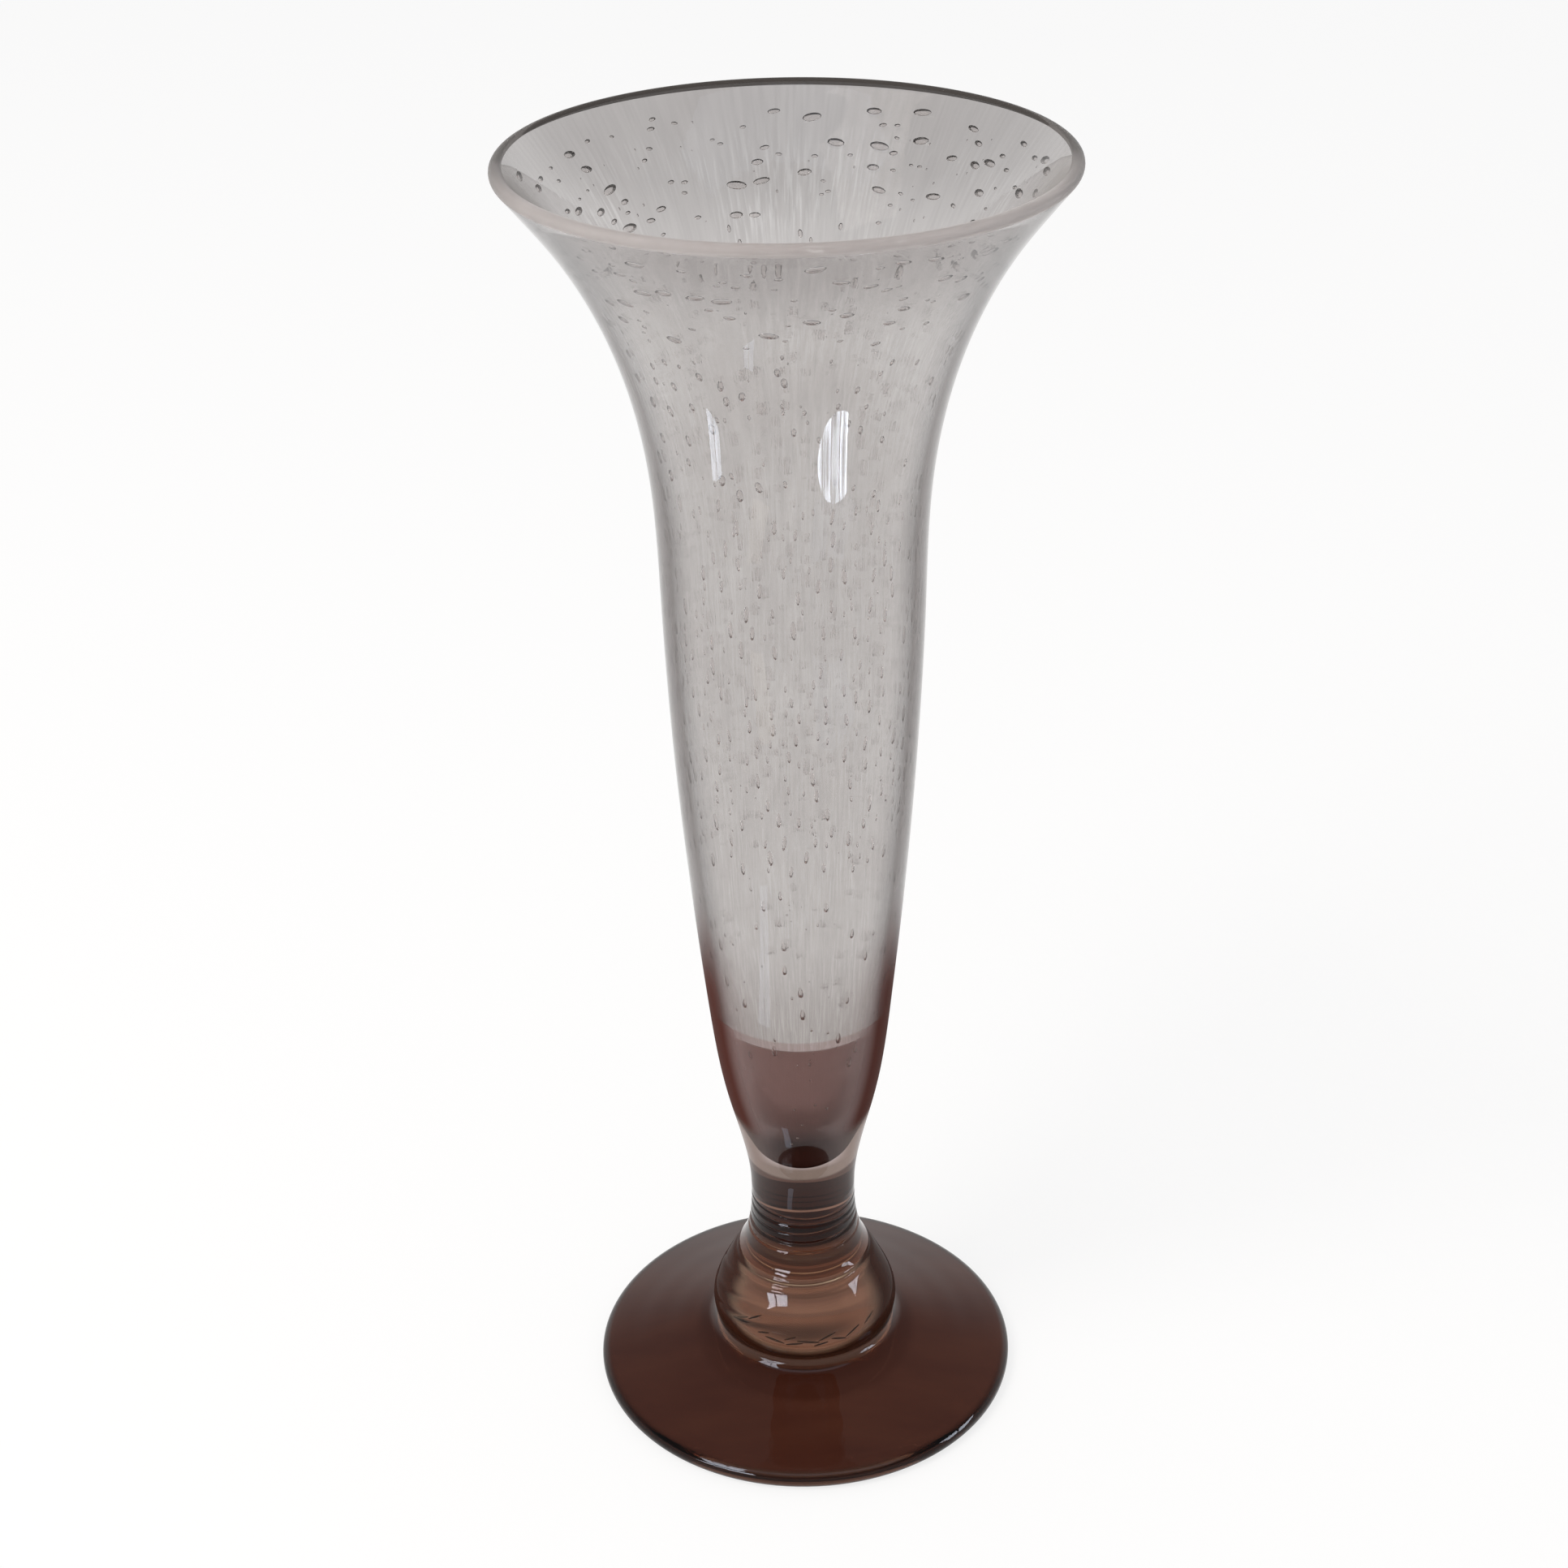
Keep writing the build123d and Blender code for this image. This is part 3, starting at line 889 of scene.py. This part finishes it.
def brown_stem_glass():
    """Tooled soda glass, brown, and amber towards the knop: darkened by painted shade where it is seen along,
    as on the rings' slopes.
    """
    material, tree = new_material("tooled brown soda glass")
    place = add_node(tree, "TexCoord").outputs["Object"]
    swirl = add_node(tree, "TexNoise", {"Vector": place, "Scale": 1 / stem_swirl, "Detail": 2.0})
    brown = add_node(tree, "ValToRGB", {0: swirl}, stops=[(0.35, "#38201A"), (0.65, "#462A22")])
    over_amber = between_heights(tree, place, amber_heights)
    tint = add_node(tree, "Mix", {0: over_amber, 6: linear("#E6C8AA"), 7: brown}, **mixed)
    # painted shade where the stem is seen along
    sided = add_node(tree, "Mix", {
        0: seen_along(tree, stem_sides), 6: tint, 7: linear("#8A6F60")}, **darkened)
    glass_shader(tree, {"Base Color": sided})
    return material


stem = Shells()
stem_outline = np.concatenate([
    [(0, knop_top[1]), (knop_top[0] / 2, knop_top[1])], stem_side, [(neck[0] / 2, neck[1]), (0, neck[1])]])
stem.turn(stem_outline, ["chilled"] * 2 + ["side"] * (len(stem_side) - 1) + ["weld"] * 2, tool_rings)
stem_piece = stem.make("stem", {"side": brown_stem_glass(), "weld": weld, "chilled": chilled_weld})

# %% [markdown]
# ## Knop
# The knop is a gather of clear amber glass that was dropped on the foot and pressed. Folds of the hot
# glass near its base show as dark lines, and shallow creases run over its shoulder. The creases are drawn
# into the outline's rows, and the folds are thin matt shells inside the glass, nearly black: painted
# shade for the dark lines that a fold draws by bending light.

# %% Knop mesh and glass
foot_weld = (21.3, 14.5)
foot_weld_lean = 24.0
knop_places = [foot_weld, (22.2, 18.5), (19.6, 26.5), knop_top]
knop_side = smooth_line(knop_places, leaning(foot_weld_lean), leaning(knop_top_lean), 0.35)
crease_depth = 0.22
crease_half_width = 0.8
crease_reach = 0.35  # radians to each side
top_crease = (32.6, 0.5, 0.7)  # height, how far it runs out of level, and half width
slanting_creases = [(190, 28.0, 5.0), (205, 25.0, 4.0), (218, 22.0, 3.5)]  # degrees round, height, slant
knop_swirl = 12 * MM
brown_heights = (17.6 * MM, 15.8 * MM)  # over which the foot's brown runs into the knop
knop_sides = (0.22, 0.50)
knop_deep_sides = (0.24, 0.52)  # where their painted shade holds back light
knop_side_cover = 0.8  # most of the light that they hold back, as painted shade
fold_shade_grain = 1.5 * MM


def shoulder_creases(angles, radius, height):
    """Depth of the creases on the knop: one round its top, and slanting ones on the left."""
    top, wave, half_width = top_crease
    depth = crease_depth * np.exp(-((height - top - wave * np.sin(angles + 0.6)) / half_width) ** 2)
    for start, level, slant in slanting_creases:
        off = (angles - math.radians(start) + math.pi) % (2 * math.pi) - math.pi
        near = np.exp(-(off / crease_reach) ** 2)
        depth += crease_depth * near * np.exp(-((height - level - slant * off) / crease_half_width) ** 2)
    return depth * min(1.0, knop_top[1] - height) * min(1.0, height - foot_weld[1])


def amber_knop_glass():
    """Tooled soda glass, clear amber: bright inside, painted shade at its sides, brown beside the foot."""
    material, tree = new_material("tooled amber soda glass")
    place = add_node(tree, "TexCoord").outputs["Object"]
    swirl = add_node(tree, "TexNoise", {"Vector": place, "Scale": 1 / knop_swirl, "Detail": 2.0})
    amber = add_node(tree, "ValToRGB", {0: swirl}, stops=[(0.35, "#B2977C"), (0.65, "#CBB193")])
    low = between_heights(tree, place, brown_heights)
    tint = add_node(tree, "Mix", {0: low, 6: amber, 7: linear("#7A4C39")}, **mixed)
    # painted shade: dark sides and a matt cover where the knop is seen along
    sided = add_node(tree, "Mix", {
        0: seen_along(tree, knop_sides), 6: tint, 7: linear("#341C10")}, **darkened)
    deep = seen_along(tree, knop_deep_sides)
    colour = add_node(tree, "Mix", {0: deep, 6: sided, 7: linear("#3A1F15")}, **mixed)
    let_through = add_node(tree, "MapRange", {
        "Value": deep, "To Min": 1.0, "To Max": 1 - knop_side_cover})
    glass_shader(tree, {"Base Color": colour, "Transmission Weight": let_through, "Specular IOR Level": 0.0})
    return material


def fold_shade():
    """Painted shade for a fold in the glass: matt and nearly black, with a fine grain."""
    material, tree = new_material("painted shade of a fold in the glass")
    place = add_node(tree, "TexCoord").outputs["Object"]
    grain = add_node(tree, "TexNoise", {"Vector": place, "Scale": 1 / fold_shade_grain, "Detail": 2.0})
    tint = add_node(tree, "ValToRGB", {0: grain}, stops=[(0.3, "#2A170E"), (0.7, "#5A3B27")])
    dull = add_node(tree, "BsdfPrincipled", {"Base Color": tint, "Roughness": 0.6})
    add_node(tree, "OutputMaterial", {"Surface": dull})
    return material


knop = Shells()
knop_outline = np.concatenate([
    [(0, foot_weld[1]), (foot_weld[0] / 2, foot_weld[1])], knop_side,
    [(knop_top[0] / 2, knop_top[1]), (0, knop_top[1])]])
knop.turn(knop_outline, ["weld"] * 2 + ["side"] * (len(knop_side) - 1) + ["chilled"] * 2, shoulder_creases)
fold_half_depth = 0.3
folds = [  # degrees round, radius, height, length, slant in degrees and half height
    (-118, 20.8, 20.8, 3.2, 14, 0.18), (-110, 20.8, 19.6, 5.0, -10, 0.22), (-100, 20.8, 20.6, 3.0, 20, 0.16),
    (-97, 20.8, 19.2, 4.2, 8, 0.20), (-88, 20.8, 19.8, 5.5, -6, 0.24), (-80, 20.8, 19.0, 3.6, 12, 0.18),
    (-76, 20.6, 20.6, 4.6, 22, 0.20), (-68, 20.8, 19.6, 4.0, -14, 0.20), (-58, 20.8, 20.4, 4.4, 26, 0.18),
    (-126, 20.0, 23.6, 4.8, 36, 0.20), (-136, 20.4, 22.0, 4.2, 30, 0.20), (-44, 20.8, 21.6, 4.0, 30, 0.18),
]
for facing, radius, height, length, slant, half_height in folds:
    angle = math.radians(facing)
    tilt = math.radians(slant)
    out = np.array([math.cos(angle), math.sin(angle), 0])
    round_way = np.array([-out[1], out[0], 0])
    up_way = np.array([0, 0, 1.0])
    long_way = math.cos(tilt) * round_way + math.sin(tilt) * up_way
    high_way = math.cos(tilt) * up_way - math.sin(tilt) * round_way
    add_bubble(knop, radius * out + height * up_way, long_way, high_way,
               (length / 2, half_height, fold_half_depth), detail="fine", finish="fold")
knop_piece = knop.make("knop", {
    "side": amber_knop_glass(), "weld": weld, "chilled": chilled_weld, "fold": fold_shade()})

# %% [markdown]
# ## Foot
# The foot was spun out flat from one more gather. It has a rounded edge, a gently rising top and a
# shallow hollow under it, so that it stands on a ring.

# %% Foot mesh and glass
foot_edge = (50.0, 2.0)  # radius, and size of its two rounds
foot_edge_thickness = 4.4
foot_fillet = (23.9, 11.5)  # where the rising top meets the fillet beside the knop
stand_ring_inner = 40.5
hollow_depth = 5.0
hollow_lean = 14.0
spun_ring_depth = 0.06
foot_streak = (30 * MM, 8 * MM, 8 * MM)  # drawn out along the width
knop_shade_radii = (24 * MM, 27 * MM)  # radii over which the painted shade beside the knop ends
foot_rim = (47.6 * MM, 49.2 * MM)  # and over which the dark edge starts
foot_sides = (0.45, 0.80)

edge_in = foot_edge[0] - foot_edge[1]
upper_edge = np.array([edge_in, foot_edge_thickness])
top_way = (np.array(foot_fillet) - upper_edge) / np.linalg.norm(np.array(foot_fillet) - upper_edge)
hollow = smooth_line(
    [(stand_ring_inner, 0), (0, hollow_depth)], leaning(hollow_lean - 90), leaning(-90), 2.5)
foot_outline = np.concatenate([
    hollow[::-1],
    [((stand_ring_inner + edge_in) / 2, 0)],
    smooth_line([(edge_in, 0), foot_edge], leaning(90), leaning(0), 0.35),
    smooth_line([(foot_edge[0], foot_edge_thickness - foot_edge[1]), upper_edge], leaning(0), top_way, 0.35),
    smooth_line([upper_edge, foot_fillet], top_way, top_way, 1.5)[1:],
    smooth_line([foot_fillet, foot_weld], top_way, leaning(0), 0.4)[1:],
    [(foot_weld[0] / 2, foot_weld[1]), (0, foot_weld[1])],
])


def spun_rings(angles, radius, height):
    """Slow rings that spinning leaves on the foot's top."""
    if height < foot_edge_thickness or radius < foot_fillet[0]:
        return np.zeros_like(angles)
    fade = min(1.0, (edge_in - radius) / 4, (radius - foot_fillet[0]) / 4)
    return fade * spun_ring_depth * (1 + np.sin(radius * 0.8 + 1.5 * np.sin(angles + 0.5)))


def dark_foot_glass():
    """Spun soda glass, dark brown: deep colour under a sharp reflection, darkest at its edge, with painted
    shade in a ring beside the knop and where it is seen along.
    """
    material, tree = new_material("spun dark brown soda glass")
    place = add_node(tree, "TexCoord").outputs["Object"]
    drawn = add_node(tree, "VectorMath", operation="DIVIDE", feeds={0: place, 1: foot_streak})
    streaks = add_node(tree, "TexNoise", {"Vector": drawn, "Scale": 1.0, "Detail": 3.0})
    brown = add_node(tree, "ValToRGB", {0: streaks}, stops=[(0.3, "#42221A"), (0.7, "#4F2C20")])
    flat = add_node(tree, "VectorMath", {0: place, 1: (1, 1, 0)}, **times)
    radius = add_node(tree, "VectorMath", {0: flat}, operation="LENGTH")
    # painted shade: a darker ring on the foot where it meets the knop
    from_knop = add_node(tree, "MapRange", {
        "Value": radius, "From Min": knop_shade_radii[0], "From Max": knop_shade_radii[1]}, **soft_step)
    top = add_node(tree, "Mix", {0: from_knop, 6: linear("#3C1C12"), 7: brown}, **mixed)
    at_rim = add_node(tree, "MapRange", {
        "Value": radius, "From Min": foot_rim[0], "From Max": foot_rim[1]}, **soft_step)
    edged = add_node(tree, "Mix", {0: at_rim, 6: top, 7: linear("#1E0A05")}, **mixed)
    # painted shade where the foot is seen along
    sided = add_node(tree, "Mix", {
        0: seen_along(tree, foot_sides), 6: edged, 7: linear("#6B4A3E")}, **darkened)
    glass_shader(tree, {"Base Color": sided})
    return material


foot = Shells()
foot.turn(foot_outline, ["side"] * (len(foot_outline) - 3) + ["weld"] * 2, spun_rings)
foot_piece = foot.make("foot", {"side": dark_foot_glass(), "weld": weld})

# %% [markdown]
# ## Putting the pieces in the frame
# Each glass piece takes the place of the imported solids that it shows, and rides on the one body of the
# vase.

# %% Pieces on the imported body
shown = [
    (bowl_piece, "bowl_glass", ("inner_gather", "outer_gather")),
    (stem_piece, "stem_glass", ("ringed_stem",)),
    (knop_piece, "knop_glass", ("base_knop",)),
    (foot_piece, "foot_glass", ("foot_disc",)),
]
for piece, slot, nodes in shown:
    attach(piece, "root")
    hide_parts(*nodes)
scene.cycles.max_bounces = 80  # light runs far inside the wall of the bowl before it leaves
scene.cycles.glossy_bounces = 64
scene.cycles.transmission_bounces = 64
scene.cycles.transparent_max_bounces = 32
